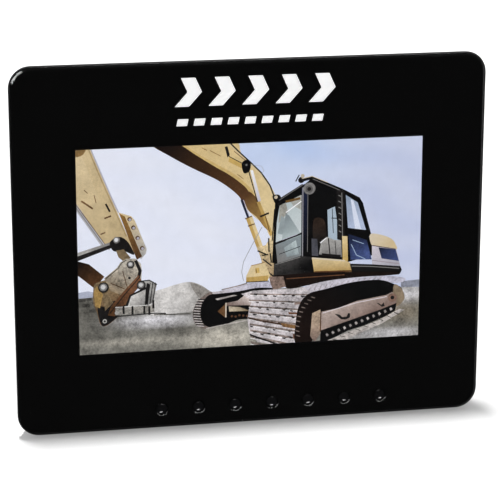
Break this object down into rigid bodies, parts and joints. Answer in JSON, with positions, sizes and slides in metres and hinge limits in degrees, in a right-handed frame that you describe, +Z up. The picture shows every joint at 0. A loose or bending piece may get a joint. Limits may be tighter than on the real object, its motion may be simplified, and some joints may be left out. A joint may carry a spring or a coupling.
{
  "type": "digital photo frame",
  "caption": "Digital photo frame with a black glossy front, a wide lit screen, a row of round push buttons, side sockets and a fold-out leg.",
  "frame": {"origin": "on the table, under the middle of the object's box, with the leg open", "axes": "+Z up, +X to the viewer's right, -Y towards the viewer; the picture leans back ten degrees"},
  "size_m": [0.208, 0.0682, 0.1623],
  "materials": {
    "black_bezel": "satin moulding",
    "black_cover": "fine spark texture",
    "black_leg": "fine spark texture",
    "black_print": "black ink on the back of the panel",
    "black_screw": "black oxide",
    "button_black": "polished",
    "can_aluminium": "drawn can",
    "chip_black": "moulded resin",
    "circuit_board": "solder mask",
    "clear_acrylic": "polished, see-through",
    "contact_metal": "gold plated",
    "display_glass": "display cell",
    "ferrite": "sintered",
    "flat_cable": "flat cable",
    "flex_circuit": "polyimide film",
    "lamp_strip": "white lamps on a strip",
    "plunger": "moulded",
    "rubber": "soft rubber",
    "sheet_steel": "tinned sheet",
    "socket_black": "moulded",
    "steel_pin": "ground",
    "steel_screw": "zinc plated",
    "switch_plastic": "moulded",
    "tape": "black adhesive film",
    "washer": "nylon",
    "white_film": "diffusing film",
    "white_plastic": "moulded",
    "wire": "insulated wire"
  },
  "bodies": {
    "root": {"front_panel": "clear_acrylic", "panel_mask": "black_print", "front_bezel": "black_bezel", "panel_tape": "tape", "key_switches": "switch_plastic", "key_board": "circuit_board", "key_screws": "steel_screw", "key_cable": "flat_cable", "cable_connectors": "white_plastic", "display_shell": "sheet_steel", "display_glass": "display_glass", "optical_films": "white_film", "light_guide": "clear_acrylic", "reflector_sheet": "white_film", "backlight_housing": "white_plastic", "backlight_lamps": "lamp_strip", "display_bracket_left": "sheet_steel", "display_bracket_right": "sheet_steel", "bracket_screws": "steel_screw", "display_flex": "flex_circuit", "lamp_lead": "wire", "main_board": "circuit_board", "processor_chip": "chip_black", "memory_chips": "chip_black", "power_inductors": "ferrite", "board_capacitors": "can_aluminium", "clock_crystal": "can_aluminium", "board_screws": "steel_screw", "dc_jack": "socket_black", "dc_jack_pin": "contact_metal", "usb_socket": "sheet_steel", "usb_tongue": "white_plastic", "mini_usb_socket": "sheet_steel", "mini_usb_tongue": "socket_black", "card_socket": "sheet_steel", "card_contacts": "contact_metal", "power_switch": "sheet_steel", "rear_cover": "black_cover", "cover_screws": "black_screw", "hinge_pin": "steel_pin", "hinge_washers": "washer", "rubber_feet": "rubber"},
    "stand": {"stand_leg": "black_leg", "leg_pad": "rubber"},
    "power_slide": {"power_slider": "socket_black"},
    "key_1": {"button_1": "button_black", "plunger_1": "plunger"},
    "key_2": {"button_2": "button_black", "plunger_2": "plunger"},
    "key_3": {"button_3": "button_black", "plunger_3": "plunger"},
    "key_4": {"button_4": "button_black", "plunger_4": "plunger"},
    "key_5": {"button_5": "button_black", "plunger_5": "plunger"},
    "key_6": {"button_6": "button_black", "plunger_6": "plunger"},
    "key_7": {"button_7": "button_black", "plunger_7": "plunger"}
  },
  "joints": [
    {"name": "stand_hinge", "type": "hinge", "parent": "root", "child": "stand", "pos_m": [0, 0.00405, 0.10199], "axis": [1, 0, 0], "range_deg": [-25, 0]},
    {"name": "power_slide", "type": "slide", "parent": "root", "child": "power_slide", "axis": [0, 0.1736, 0.9848], "range_m": [0, 0.003]},
    {"name": "press_1", "type": "slide", "parent": "root", "child": "key_1", "axis": [0, 0.9848, -0.1736], "range_m": [0, 0.0005], "stiffness_N_per_m": 1500, "springref_m": -0.0002},
    {"name": "press_2", "type": "slide", "parent": "root", "child": "key_2", "axis": [0, 0.9848, -0.1736], "range_m": [0, 0.0005], "stiffness_N_per_m": 1500, "springref_m": -0.0002},
    {"name": "press_3", "type": "slide", "parent": "root", "child": "key_3", "axis": [0, 0.9848, -0.1736], "range_m": [0, 0.0005], "stiffness_N_per_m": 1500, "springref_m": -0.0002},
    {"name": "press_4", "type": "slide", "parent": "root", "child": "key_4", "axis": [0, 0.9848, -0.1736], "range_m": [0, 0.0005], "stiffness_N_per_m": 1500, "springref_m": -0.0002},
    {"name": "press_5", "type": "slide", "parent": "root", "child": "key_5", "axis": [0, 0.9848, -0.1736], "range_m": [0, 0.0005], "stiffness_N_per_m": 1500, "springref_m": -0.0002},
    {"name": "press_6", "type": "slide", "parent": "root", "child": "key_6", "axis": [0, 0.9848, -0.1736], "range_m": [0, 0.0005], "stiffness_N_per_m": 1500, "springref_m": -0.0002},
    {"name": "press_7", "type": "slide", "parent": "root", "child": "key_7", "axis": [0, 0.9848, -0.1736], "range_m": [0, 0.0005], "stiffness_N_per_m": 1500, "springref_m": -0.0002}
  ]
}
